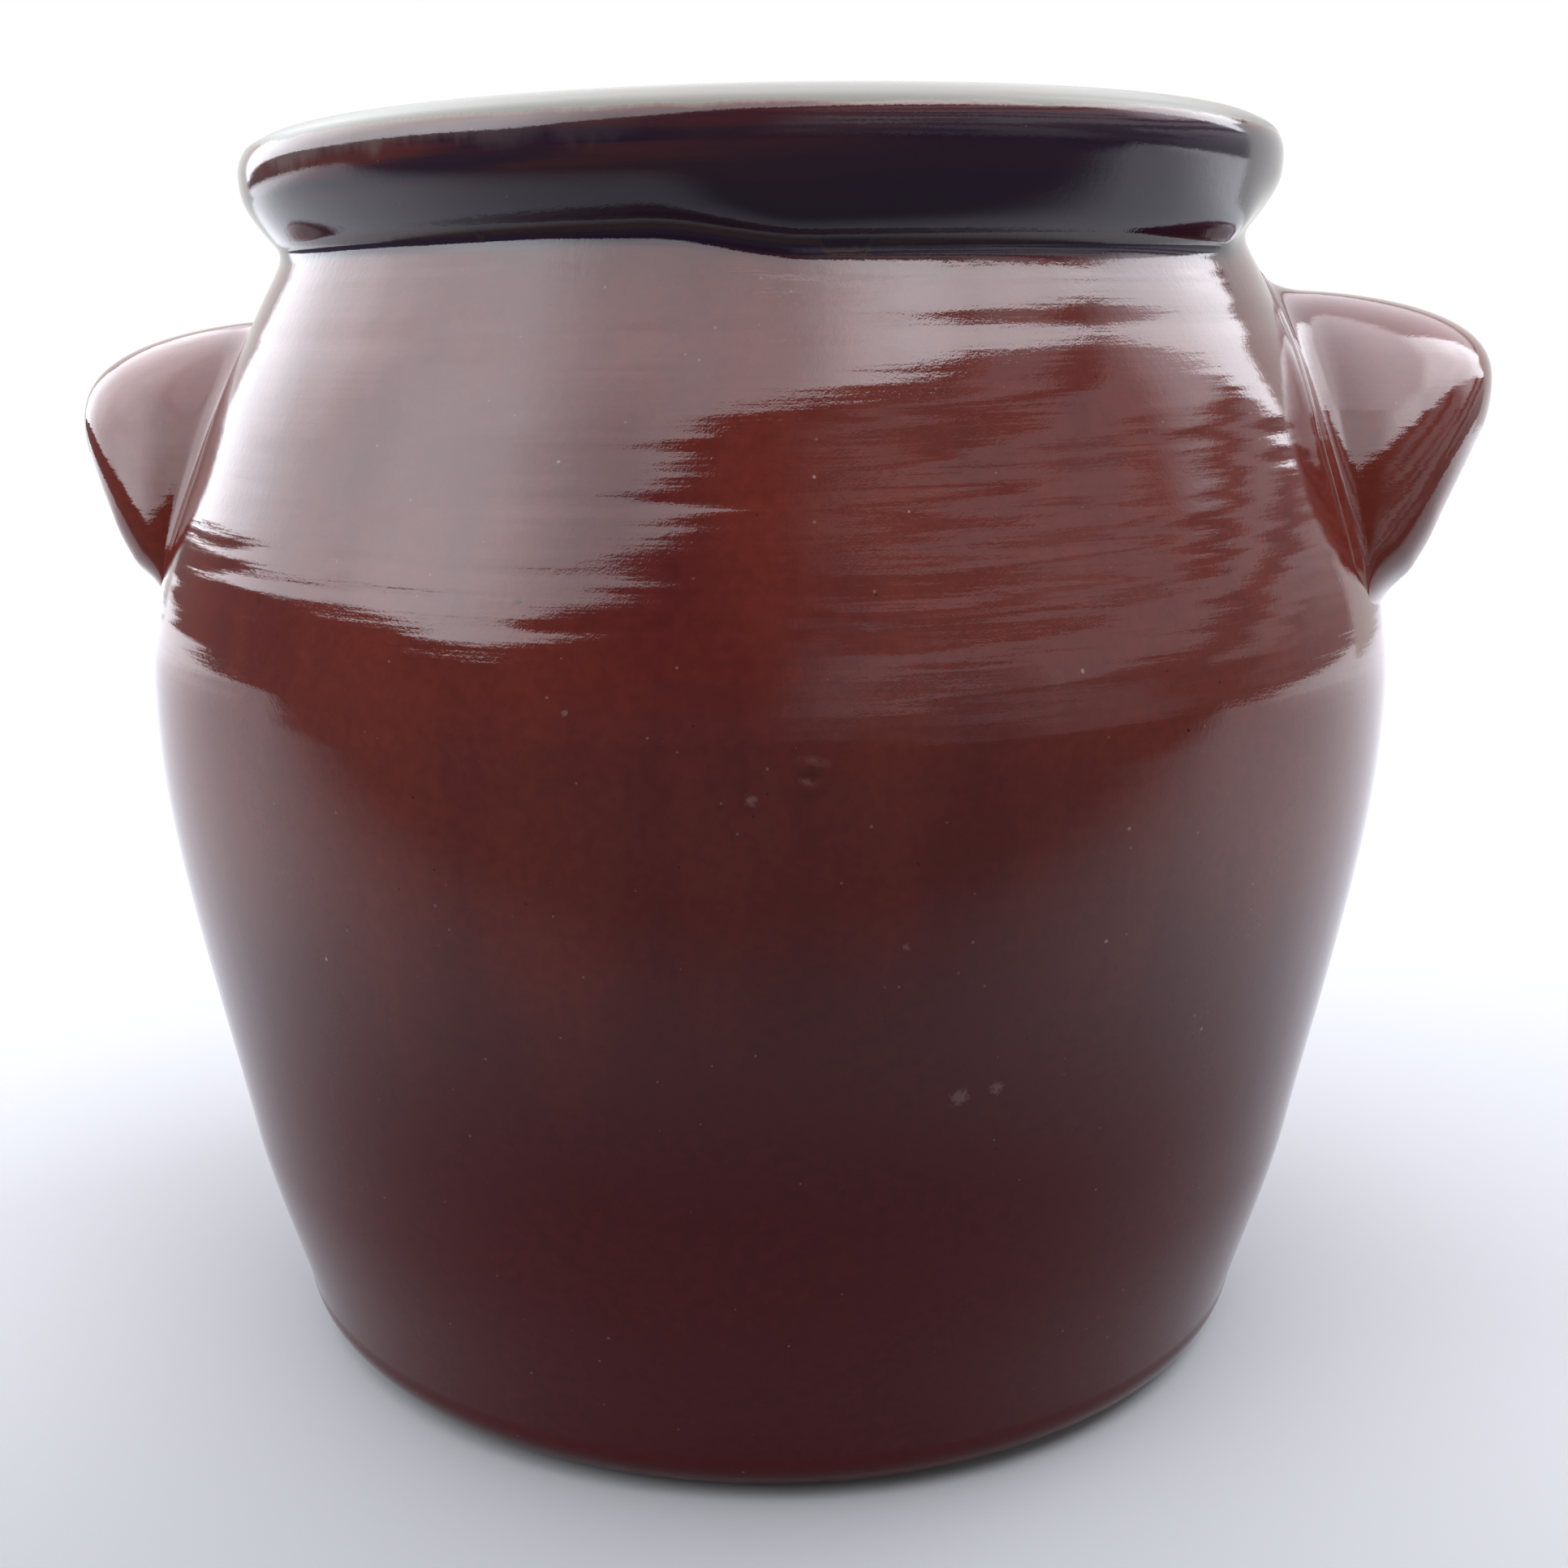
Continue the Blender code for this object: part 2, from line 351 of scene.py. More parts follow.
def inside_outline(sizes, lip):
    """The inside: from the middle of its floor, round its corner and up to below the lip."""
    inside = [Vector((point.x - sizes.wall, point.y)) for point in wall_stations(sizes)[:-1]]
    inside[0].y -= sizes.wall / 2
    slope = (inside[-2].x - inside[-1].x) / (inside[-2].y - inside[-1].y)
    corner_height = FLOOR_THICKNESS + INSIDE_CORNER
    corner_radius = inside[-1].x - slope * (inside[-1].y - corner_height)
    corner = [
        Vector((
            corner_radius - INSIDE_CORNER * (1 - sin(angle)),
            corner_height - INSIDE_CORNER * cos(angle),
        ))
        for angle in np.linspace(0, pi / 2, 9)[:-1]
    ]
    floor = [
        Vector((corner[0].x * share, FLOOR_THICKNESS)) for share in np.linspace(0, 1, 15)[:-1]
    ]
    stations = [Vector((corner_radius, corner_height)), *reversed(inside), lip]
    return [*floor, *corner, *smooth_through(stations, 5 * MM)[:-1]]


def rim_outline(sizes, lip):
    """The rolled rim, from the lip over the crest to just above the neck."""
    height, radius = sizes.height, sizes.rim_radius
    crest = Vector((CREST_RADIUS, height))
    corner = Vector((radius - 2.4 * MM, height - 2.1 * MM))
    upper = Vector((radius - 0.3 * MM, height - 5.2 * MM))
    bulge = Vector((radius, height - 9.5 * MM))
    under = Vector((radius - 0.9 * MM, height - 13.5 * MM))
    tuck = Vector((radius - 3.8 * MM, height - 18.2 * MM))
    neck = wall_stations(sizes)[0]
    rim = smooth_through([lip, crest, corner, upper, bulge, under, tuck, neck], 0.8 * MM)
    return [point for point in rim if (point - neck).length > 2.5 * MM]


def wall_outline(sizes):
    """The outside of the wall from just below the neck, closely stepped where it has rings."""
    stations = wall_stations(sizes)
    wall = []
    for point in smooth_through(stations, 0.45 * MM):
        step = 0.88 * MM if point.y > 118 * MM else 2 * MM
        if (point - stations[0]).length < 2.8 * MM:
            continue
        if not wall or (point - wall[-1]).length >= step:
            wall.append(point)
    for point in wall:
        for drop, depth, half_width in NECK_HOLLOWS:
            off = (point.y - sizes.height + drop * MM) / (half_width * MM)
            point.x -= depth * MM * exp(-off * off)
    return wall


def foot_outline(sizes):
    """The rounded heel and the flat underside of the foot."""
    heel = [
        Vector((
            sizes.foot_radius + (sizes.heel_radius - sizes.foot_radius) * cos(angle),
            HEEL_HEIGHT * (1 - sin(angle)),
        ))
        for angle in np.linspace(0, pi / 2, 15)
    ]
    underside = [Vector((sizes.foot_radius * share, 0)) for share in (0.98, 0.9, 0.6, 0.3, 0)]
    return [*heel, *underside]


def jar_outline(sizes):
    """The whole outline, from the middle of the inside over the rim to the middle of the foot."""
    lip = Vector((LIP_RADIUS, sizes.height - LIP_DROP))
    rim, wall = rim_outline(sizes, lip), wall_outline(sizes)
    neck = wall_stations(sizes)[0]
    soft_neck = [
        rim[-1] * (1 - t) ** 2 + neck * (2 * t * (1 - t)) + wall[0] * t**2
        for t in np.linspace(0, 1, 10)[1:-1]
    ]
    return [*inside_outline(sizes, lip), *rim, *soft_neck, *wall, *foot_outline(sizes)]


def wall_table(sizes):
    """Heights, upwards, and outside radii of the wall, to be read with np.interp."""
    wall = smooth_through(wall_stations(sizes), 1 * MM)
    return np.array([point.y for point in reversed(wall)]), np.array(
        [point.x for point in reversed(wall)]
    )


def wall_place(sizes, angle, height):
    """The point of the upright wall at an angle in degrees to the right of the front."""
    heights, radii = wall_table(sizes)
    radius = float(np.interp(height * MM, heights, radii))
    turn = radians(angle)
    return (radius * sin(turn), -radius * cos(turn), height * MM)


def lean_points(points, sizes):
    """Where points of the upright jar go as its neck leans."""
    start = sizes.height - LEAN_START_DROP
    share = np.clip((points[:, 2] - start) / (LEAN_START_DROP - LEAN_END_DROP), 0, 1)
    angle = sizes.lean * share * share * (3 - 2 * share)
    pivot = sizes.height - LEAN_PIVOT_DROP
    across, up = points[:, 0], points[:, 2] - pivot
    return np.stack([
        across * np.cos(angle) - up * np.sin(angle),
        points[:, 1],
        across * np.sin(angle) + up * np.cos(angle) + pivot,
    ], 1)


def add_node(tree, kind, inputs=None, out=0, **settings):
    """Add a node, fill or link its inputs, and return one of its outputs."""
    made = tree.nodes.new(kind)
    for name, value in settings.items():
        setattr(made, name, value)
    for key, value in (inputs or {}).items():
        if isinstance(value, bpy.types.NodeSocket):
            tree.links.new(value, made.inputs[key])
        else:
            made.inputs[key].default_value = value
    return made.outputs[out]


def calc(tree, operation, *values):
    """One Math node."""
    return add_node(tree, "ShaderNodeMath", dict(enumerate(values)), operation=operation)


def vector(tree, operation, *values, out=0):
    """One Vector Math node."""
    return add_node(
        tree, "ShaderNodeVectorMath", dict(enumerate(values)), out=out, operation=operation
    )


def scaled(tree, value, share):
    """A vector or a colour times a number."""
    return add_node(tree, "ShaderNodeVectorMath", {0: value, "Scale": share}, operation="SCALE")


def split_xyz(tree, value):
    """The X, Y and Z of a vector, to be read by name."""
    return add_node(tree, "ShaderNodeSeparateXYZ", {0: value}).node.outputs


def mix(tree, share, first, second):
    """A colour on its way from first to second."""
    return add_node(
        tree, "ShaderNodeMix", {"Factor": share, 6: first, 7: second}, out=2, data_type="RGBA"
    )


def blend(tree, share, first, second):
    """A number on its way from first to second."""
    return add_node(tree, "ShaderNodeMix", {0: share, 2: first, 3: second}, data_type="FLOAT")


def ramp(tree, value, low, high, start=0.0, end=1.0):
    """A smooth step of a value, from start at low to end at high."""
    return add_node(
        tree, "ShaderNodeMapRange",
        {"Value": value, "From Min": low, "From Max": high, "To Min": start, "To Max": end},
        interpolation_type="SMOOTHSTEP",
    )


def cloud(tree, place, scale, detail=2.0, roughness=0.5, stretch=(1, 1, 1), seed=0.0):
    """A noise from about 0 to 1, with stretch as its scale along each axis."""
    moved = vector(tree, "MULTIPLY_ADD", place, stretch, (seed, seed * 1.7, seed * 2.3))
    return add_node(
        tree, "ShaderNodeTexNoise",
        {"Vector": moved, "Scale": scale, "Detail": detail, "Roughness": roughness},
    )


def turned_place(tree, given, place, way, across, along_y):
    """Where a point of the outline goes as it turns, with the roll's edge lower on the right."""
    hem = calc(tree, "MULTIPLY", given["Hem Drop"], calc(
        tree, "MULTIPLY", ramp(tree, across, -0.08, 0.2), ramp(tree, across, 0.99, 0.9)
    ))
    hem = calc(tree, "MULTIPLY", hem, calc(
        tree, "MULTIPLY", ramp(tree, way, *HEM_START), ramp(tree, way, *HEM_END)
    ))
    spot = split_xyz(tree, place)
    radius = calc(tree, "MULTIPLY_ADD", hem, HEM_OUTWARDS, spot["X"])
    return add_node(tree, "ShaderNodeCombineXYZ", {
        "X": calc(tree, "MULTIPLY", radius, across),
        "Y": calc(tree, "MULTIPLY", radius, along_y),
        "Z": calc(tree, "SUBTRACT", spot["Z"], hem),
    })


def raised_by(tree, noise, share, depth):
    """How far a noise raises the wall, at a share of its depth."""
    return calc(
        tree, "MULTIPLY", calc(tree, "SUBTRACT", noise, 0.5), calc(tree, "MULTIPLY", share, depth)
    )


def wall_relief(tree, given, turned, ring_share, wave_share):
    """How far the throwing rings, the ripples and the slow waves raise the wall.

    Each is a noise that is slow round the jar and quicker up it. The rings drift a little.
    """
    spot = split_xyz(tree, turned)
    drift = cloud(tree, turned, 7.0, detail=1.0, seed=5.0)
    lifted = add_node(tree, "ShaderNodeCombineXYZ", {
        "X": spot["X"], "Y": spot["Y"],
        "Z": calc(tree, "MULTIPLY_ADD", drift, 6 * MM, spot["Z"]),
    })
    stretch = add_node(tree, "ShaderNodeCombineXYZ", {
        "X": 14.0, "Y": 14.0, "Z": calc(tree, "DIVIDE", 1.0, given["Ring Spacing"]),
    })
    start = add_node(tree, "ShaderNodeCombineXYZ", {"X": given["Seed"]})
    rings = add_node(tree, "ShaderNodeTexNoise", {
        "Vector": vector(tree, "ADD", vector(tree, "MULTIPLY", lifted, stretch), start),
        "Scale": 1.0, "Detail": 2.0, "Roughness": 0.6,
    })
    ripples = cloud(tree, lifted, 1.0, detail=1.0, stretch=(11, 11, 110), seed=6.0)
    waves = cloud(tree, turned, 1.0, detail=1.0, stretch=(9, 9, 16), seed=2.0)
    ringed = calc(
        tree, "ADD", raised_by(tree, rings, ring_share, given["Ring Depth"]),
        raised_by(tree, ripples, ring_share, given["Ripple Depth"]),
    )
    return calc(tree, "ADD", ringed, raised_by(tree, waves, wave_share, given["Wave Depth"]))


def crater_relief(tree, given, turned):
    """The pit and the raised edge where a bubble burst in the glaze."""
    away = vector(tree, "DISTANCE", turned, given["Crater Place"], out=1)
    pit = ramp(tree, away, 0.2 * MM, 1.5 * MM, -1.0, 0.0)
    edge = calc(
        tree, "MULTIPLY", ramp(tree, away, 1.0 * MM, 1.9 * MM),
        ramp(tree, away, 3.1 * MM, 2.0 * MM),
    )
    return calc(
        tree, "MULTIPLY", given["Crater Depth"], calc(tree, "MULTIPLY_ADD", edge, 0.55, pit)
    )


def leaned_place(tree, given, upright):
    """Where a point of the upright jar goes as its neck leans."""
    share = ramp(tree, split_xyz(tree, upright)["Z"], given["Lean Start"], given["Lean End"])
    lean = calc(tree, "MULTIPLY", given["Lean"], share)
    return add_node(tree, "ShaderNodeVectorRotate", {
        "Vector": upright,
        "Center": add_node(tree, "ShaderNodeCombineXYZ", {"Z": given["Lean Pivot"]}),
        "Angle": calc(tree, "MULTIPLY", lean, -1.0),
    }, rotation_type="Y_AXIS")


def finish_wall(tree, shape, upright, way, leaned, glaze):
    """Keep what the glaze reads at each point, lean the wall, close its seam and glaze it."""
    for name, value, kind in (("upright", upright, "FLOAT_VECTOR"), ("way", way, "FLOAT")):
        shape = add_node(
            tree, "GeometryNodeStoreNamedAttribute",
            {"Geometry": shape, "Name": name, "Value": value},
            data_type=kind, domain="POINT",
        )
    shape = add_node(tree, "GeometryNodeSetPosition", {"Geometry": shape, "Position": leaned})
    shape = add_node(tree, "GeometryNodeMergeByDistance", {"Geometry": shape, "Distance": 1e-6})
    shape = add_node(tree, "GeometryNodeFlipFaces", {"Mesh": shape})
    shape = add_node(tree, "GeometryNodeSetShadeSmooth", {"Geometry": shape})
    shape = add_node(tree, "GeometryNodeRealizeInstances", {"Geometry": shape})
    return add_node(tree, "GeometryNodeSetMaterial", {"Geometry": shape, "Material": glaze})


def turning_tree():
    """Geometry Nodes that turn an outline about the jar's axis, with its throwing rings."""
    tree = bpy.data.node_groups.new("turned_wall", "GeometryNodeTree")
    new_socket = tree.interface.new_socket
    new_socket("Outline", in_out="INPUT", socket_type="NodeSocketGeometry")
    new_socket("Jar", in_out="OUTPUT", socket_type="NodeSocketGeometry")
    for name, kind in TURNING_INPUTS:
        new_socket(name, in_out="INPUT", socket_type=f"NodeSocket{kind}")
    given = tree.nodes.new("NodeGroupInput").outputs

    rows = add_node(
        tree, "GeometryNodeAttributeDomainSize", {"Geometry": given["Outline"]},
        component="MESH",
    )
    grid = add_node(tree, "GeometryNodeMeshGrid", {
        "Size X": 1.0, "Size Y": 1.0,
        "Vertices X": calc(tree, "ADD", given["Turn Steps"], 1.0), "Vertices Y": rows,
    })
    flat = split_xyz(tree, add_node(tree, "GeometryNodeInputPosition"))
    row = calc(tree, "ROUND", calc(
        tree, "MULTIPLY", calc(tree, "ADD", flat["Y"], 0.5), calc(tree, "SUBTRACT", rows, 1.0)
    ))

    def along(name, kind):
        """Read one of the outline's values for each row."""
        value = add_node(
            tree, "GeometryNodeInputNamedAttribute", {"Name": name}, data_type=kind
        )
        return add_node(
            tree, "GeometryNodeSampleIndex",
            {"Geometry": given["Outline"], "Value": value, "Index": row},
            data_type=kind, domain="POINT",
        )

    # The columns stand closest at the front, where the angle is -90 degrees
    even = calc(tree, "MULTIPLY", flat["X"], 2 * pi)
    gathered = calc(tree, "SUBTRACT", even, calc(
        tree, "MULTIPLY", calc(tree, "SINE", even), 0.55
    ))
    angle = calc(tree, "SUBTRACT", gathered, pi / 2)
    across, along_y = calc(tree, "COSINE", angle), calc(tree, "SINE", angle)
    way = along("way_from_crest", "FLOAT")
    turned = turned_place(tree, given, along("position", "FLOAT_VECTOR"), way, across, along_y)

    relief = wall_relief(
        tree, given, turned, along("ring_share", "FLOAT"), along("wave_share", "FLOAT")
    )
    raised = calc(tree, "ADD", relief, crater_relief(tree, given, turned))
    normal = split_xyz(tree, along("outwards", "FLOAT_VECTOR"))
    outwards = add_node(tree, "ShaderNodeCombineXYZ", {
        "X": calc(tree, "MULTIPLY", normal["X"], across),
        "Y": calc(tree, "MULTIPLY", normal["X"], along_y),
        "Z": normal["Z"],
    })
    upright = vector(tree, "ADD", turned, scaled(tree, outwards, raised))
    leaned = leaned_place(tree, given, upright)
    shape = finish_wall(tree, grid, upright, way, leaned, given["Glaze"])
    tree.links.new(shape, tree.nodes.new("NodeGroupOutput").inputs["Jar"])
    return tree


def bump_between(value, start, low, high, end):
    """1 for a value between low and high, falling to 0 at start and at end."""
    return float(np.clip(min((value - start) / (low - start), (end - value) / (end - high)), 0, 1))


def store(mesh, name, values):
    """Keep a number or a vector at each point of a mesh."""
    kind, field = ("FLOAT", "value") if values.ndim == 1 else ("FLOAT_VECTOR", "vector")
    mesh.attributes.new(name, kind, "POINT").data.foreach_set(field, values.ravel())


def outline_mesh(sizes):
    """The outline as a mesh of edges, with what the turning tree reads at each point."""
    flat = np.array([(point.x, point.y) for point in jar_outline(sizes)])
    heights = flat[:, 1]
    steps = np.linalg.norm(np.diff(flat, axis=0), axis=1)
    way = np.concatenate([[0], np.cumsum(steps)])
    way -= way[heights.argmax()]
    along = np.vstack([flat[1:], flat[-1:]]) - np.vstack([flat[:1], flat[:-1]])
    outwards = np.stack([-along[:, 1], along[:, 0]], 1)
    outwards /= np.linalg.norm(outwards, axis=1)[:, None]

    # The rings are strongest on the shoulder, and faint on the rim, inside and lower down
    ring_share = np.array([
        (0.12 + 0.88 * bump_between(height, 150 * MM, 172 * MM, 213 * MM, 223 * MM)) if out
        else 0.25 for height, out in zip(heights, way > 0)
    ])
    near_foot = heights < 12.5 * MM
    ring_share[np.abs(way) < 26 * MM] = 0.2
    ring_share[near_foot] = 0
    quiet = (np.abs(way) < 40 * MM) | near_foot
    wave_share = np.where(quiet, 0.25, 1.0) * (heights > 1 * MM)

    mesh = bpy.data.meshes.new("jar_outline")
    mesh.from_pydata(
        [(radius, 0, height) for radius, height in flat],
        [(index, index + 1) for index in range(len(flat) - 1)], [],
    )
    store(mesh, "ring_share", ring_share)
    store(mesh, "wave_share", wave_share)
    store(mesh, "way_from_crest", way)
    store(mesh, "outwards", np.stack([outwards[:, 0], np.zeros(len(flat)), outwards[:, 1]], 1))
    return mesh


def brown_glaze(tree, look, place, height, broad):
    """The glaze of the wall: brown, and plum where it has run thick, with more plum towards the
    foot, partly the glaze's own tone and partly painted shade.
    """
    streaks = cloud(tree, place, 1.0, detail=3.0, stretch=(60, 60, 6), seed=4.0)
    thick = calc(tree, "MULTIPLY_ADD", streaks, 0.5, calc(tree, "MULTIPLY", broad, 0.9))
    # Painted shade: the plum share grows towards the foot, so the lower wall is darker than its
    # glaze alone would be
    low = ramp(tree, height, 150 * MM, 60 * MM, 0.0, 0.5)
    share = ramp(tree, calc(tree, "ADD", thick, low), 0.5, 1.05)
    mottle = cloud(tree, place, 420.0, detail=2.0, roughness=0.6)
    shade = ramp(tree, mottle, 0.3, 0.7, 0.92, 1.08)
    return scaled(tree, mix(tree, share, (*look.brown, 1), (*look.plum, 1)), shade)


def add_roll(tree, look, place, way, side, colour):
    """Make the roll of the rim almost black, streaked along and redder at its upper edge."""
    roll = calc(tree, "MULTIPLY", ramp(tree, way, *ROLL_START), ramp(tree, way, *ROLL_END))
    streaks = cloud(tree, place, 1.0, detail=3.0, stretch=(14, 14, 260), seed=9.0)
    upper_left = calc(
        tree, "MULTIPLY", ramp(tree, way, *RED_END),
        ramp(tree, side, 60 * MM, -40 * MM, 0.15, 1.0),
    )
    redder = calc(tree, "MULTIPLY", ramp(tree, streaks, 0.35, 0.65), upper_left)
    rolled = mix(tree, redder, (*look.dark, 1), ROLL_STREAKS)
    return mix(tree, calc(tree, "MULTIPLY", roll, 0.96), colour, rolled)


def add_drips(tree, way, edge, spikes, colour):
    """Break the glaze to brown on the edge above the neck, where it hangs in small drips."""
    drips = ramp(tree, edge, 0.60, 0.72, 0, 3.2 * MM)
    hem = calc(tree, "SUBTRACT", way, calc(tree, "MULTIPLY_ADD", spikes, 1.6 * MM, drips))
    broken = calc(
        tree, "MULTIPLY", ramp(tree, hem, *BREAK_START), ramp(tree, hem, *BREAK_END, 0, 0.8)
    )
    return mix(tree, broken, colour, BROKEN_BROWN)


def add_thin_glaze(tree, look, way, side, edge, spikes, colour):
    """Lay patches of thin glaze over the top of the roll, more of them on the left."""
    wander = calc(tree, "MULTIPLY_ADD", edge, 12 * MM, -6 * MM)
    spiked = calc(tree, "MULTIPLY_ADD", spikes, 2.4 * MM, wander)
    shifted = calc(tree, "SUBTRACT", way, spiked)
    left = ramp(tree, side, 10 * MM, -80 * MM, 0.03, 0.6)
    thin = calc(tree, "MULTIPLY", left, ramp(tree, shifted, *THIN_END))
    return mix(tree, thin, colour, (*look.thin, 1))


def add_crest(tree, look, place, way, edge, spikes, colour):
    """Lay a tan line and then the pale glaze over the crest. Its share is given back too."""
    wander = calc(tree, "MULTIPLY_ADD", edge, 2.6 * MM, -1.3 * MM)
    spiked = calc(tree, "MULTIPLY_ADD", spikes, 1.0 * MM, wander)
    shifted = calc(tree, "SUBTRACT", way, spiked)
    colour = mix(tree, ramp(tree, shifted, *TAN_END, 0, 0.8), colour, TAN_LINE)
    speckle = cloud(tree, place, 900.0, detail=2.0, roughness=0.7)
    pale = mix(
        tree, ramp(tree, speckle, 0.60, 0.74, 0, 0.4), (*look.pale, 1), CREST_SPECKLE
    )
    crest = ramp(tree, shifted, *CREST_END)
    return mix(tree, crest, colour, pale), crest


def add_fine_specks(tree, place, colour):
    """Strew fine specks over all the glaze, pale in some cells and dark in others."""
    cells = add_node(tree, "ShaderNodeTexVoronoi", {"Vector": place, "Scale": 400.0}).node.outputs
    chance = add_node(tree, "ShaderNodeSeparateColor", {0: cells["Color"]}).node.outputs
    size = ramp(tree, chance["Green"], 0.0, 1.0, 0.06, 0.16)
    dot = ramp(tree, cells["Distance"], size, calc(tree, "MULTIPLY", size, 0.4))
    for none, full, tint, strength in FINE_SPECKS:
        share = ramp(tree, chance["Red"], none, full, 0, strength)
        colour = mix(tree, calc(tree, "MULTIPLY", dot, share), colour, tint)
    return colour


def add_flaws(tree, place, sizes, colour):
    """Set the larger specks, scuffs and pits at their places on the wall."""
    grit = cloud(tree, place, 1300.0, detail=2.0, seed=11.0)
    for marks, tint, strength in FLAWS:
        for angle, up, size in marks:
            distance = vector(tree, "DISTANCE", place, wall_place(sizes, angle, up), out=1)
            rough = calc(tree, "MULTIPLY_ADD", grit, 1.6 * size * MM, distance)
            mark = ramp(tree, rough, 1.8 * size * MM, 1.1 * size * MM, 0, strength)
            colour = mix(tree, mark, colour, tint)
    return colour


def add_bare_foot(tree, look, place, height, way, colour):
    """Leave a line of bare clay at the foot. Its share is given back too."""
    wander = cloud(tree, place, 45.0, detail=3.0, seed=8.0)
    line = ramp(
        tree, calc(tree, "MULTIPLY_ADD", wander, -3.2 * MM, height), 0.9 * MM, 0.6 * MM
    )
    outside = calc(tree, "GREATER_THAN", way, 0.0)
    foot = calc(tree, "MULTIPLY", line, outside)
    return mix(tree, foot, colour, (*look.clay, 1)), foot


def glaze_grain(tree, place, height, way, spikes):
    """The fine relief of the glaze: orange peel, fine rings and upright lines under the roll."""
    peel = cloud(tree, place, 650.0, detail=3.0, roughness=0.6)
    grain = cloud(tree, place, 2600.0, detail=2.0, seed=3.0)
    fine_rings = cloud(tree, place, 1.0, detail=2.0, stretch=(30, 30, 620), seed=7.0)
    ringed = calc(
        tree, "MULTIPLY", ramp(tree, height, 150 * MM, 175 * MM, 0.4, 2.0),
        calc(tree, "MULTIPLY", fine_rings, ramp(tree, way, 30 * MM, 36 * MM)),
    )
    upright_lines = calc(tree, "MULTIPLY", spikes, calc(
        tree, "MULTIPLY", ramp(tree, way, 24 * MM, 29 * MM, 0, 2.0),
        ramp(tree, way, 46 * MM, 36 * MM),
    ))
    relief = calc(
        tree, "ADD", calc(tree, "ADD", ringed, upright_lines),
        calc(tree, "MULTIPLY_ADD", grain, 0.5, peel),
    )
    return add_node(
        tree, "ShaderNodeBump", {"Strength": 1.0, "Distance": 0.018 * MM, "Height": relief}
    )


def glaze_material(look, sizes, name):
    """The jar's glazes and its bare clay in one finish, parted by their way from the crest."""
    made = bpy.data.materials.new(name)
    made.use_nodes = True
    tree = made.node_tree
    inputs = tree.nodes["Principled BSDF"].inputs
    place = add_node(
        tree, "ShaderNodeAttribute", out="Vector", attribute_name="upright",
        attribute_type="GEOMETRY",
    )
    way = add_node(
        tree, "ShaderNodeAttribute", out="Fac", attribute_name="way",
        attribute_type="GEOMETRY",
    )
    spot = split_xyz(tree, place)
    side, height = spot["X"], spot["Z"]
    broad = cloud(tree, place, 9.0, detail=4.0)
    edge = cloud(tree, place, 70.0, detail=4.0, roughness=0.6, stretch=(1, 1, 0.4))
    spikes = cloud(tree, place, 1.0, detail=3.0, roughness=0.7, stretch=(420, 420, 60))

    colour = brown_glaze(tree, look, place, height, broad)
    colour = add_roll(tree, look, place, way, side, colour)
    colour = add_drips(tree, way, edge, spikes, colour)
    colour = add_thin_glaze(tree, look, way, side, edge, spikes, colour)
    colour, crest = add_crest(tree, look, place, way, edge, spikes, colour)
    colour = add_fine_specks(tree, place, colour)
    colour = add_flaws(tree, place, sizes, colour)
    colour, foot = add_bare_foot(tree, look, place, height, way, colour)
    tree.links.new(colour, inputs["Base Color"])

    # The crest is rubbed dull, the clay is matt, and the sheen falls towards the foot
    rubbed = calc(tree, "MULTIPLY", crest, ramp(tree, way, -14 * MM, -8 * MM))
    roughness = ramp(tree, broad, 0.3, 0.7, 0.05, 0.085)
    roughness = blend(tree, rubbed, roughness, 0.3)
    roughness = blend(tree, foot, roughness, 0.75)
    tree.links.new(roughness, inputs["Roughness"])
    sheen = ramp(tree, height, 65 * MM, 150 * MM, 0.11, 0.5)
    sheen = calc(tree, "MULTIPLY", sheen, calc(tree, "MULTIPLY_ADD", rubbed, -0.6, 1.0))
    tree.links.new(sheen, inputs["Specular IOR Level"])
    inputs["IOR"].default_value = 1.6
    tree.links.new(glaze_grain(tree, place, height, way, spikes), inputs["Normal"])
    return made


def eased(share):
    """A share from 0 to 1 that starts and ends gently."""
    return share * share * (3 - 2 * share)


def ear_section(arch, sizes, half_angle, table, inset, curls):
    """Radius, angle and height of an ear's face over a row of curls.

    arch runs from -1 at the front foot over the top to 1 at the back foot. inset is how far
    the face lies inside the ear's outer face.
    """
    heights, radii = table
    turn = arch * pi / 2
    crown = cos(turn)
    foot_height = sizes.height - EAR_FOOT_DROP
    root_height = foot_height + (EAR_ROOT_RISE - inset) * crown
    tip_height = foot_height + EAR_TIP_RISE * crown
    root_radius = np.interp(root_height, heights, radii)
    swell = eased(min(1.0, crown / EAR_FOOT_CROWN))
    foot_radius = np.interp(foot_height, heights, radii) + EAR_FOOT_PROUD * swell
    reach = sizes.belly_radius + sizes.ear_reach - foot_radius
    tip_radius = foot_radius + reach * crown**EAR_ARCH_POWER - inset
    outwards = np.sin(curls) ** EAR_OUT_POWER
    level = np.cos(curls)
    downwards = 1 - np.sign(level) * np.abs(level) ** EAR_DOWN_POWER
    half = half_angle - inset / sizes.belly_radius
    tip_half = half - EAR_TIP_NARROWER
    radius = root_radius + (tip_radius - root_radius) * outwards
    angle = (half + (tip_half - half) * downwards) * sin(turn)
    height = root_height + (tip_height - root_height) * downwards
    return np.stack([radius, angle, height], 1)


def fillet(face, turn, away, size, table, count):
    """A soft corner that leads from the wall onto a face of an ear, whose root is first."""
    heights, radii = table
    root = face[0]
    radius = root[0]
    far_height = root[2] + away * size * cos(turn) * 0.75
    far_angle = root[1] + away * size * sin(turn) / radius
    far_radius = np.interp(far_height, heights, radii) - EAR_FILLET_SINK
    start = np.array([far_radius, far_angle, far_height])
    share = np.linspace(0, 1, count)[:, None]
    return (1 - share) ** 2 * start + 2 * share * (1 - share) * root + share**2 * face[1]


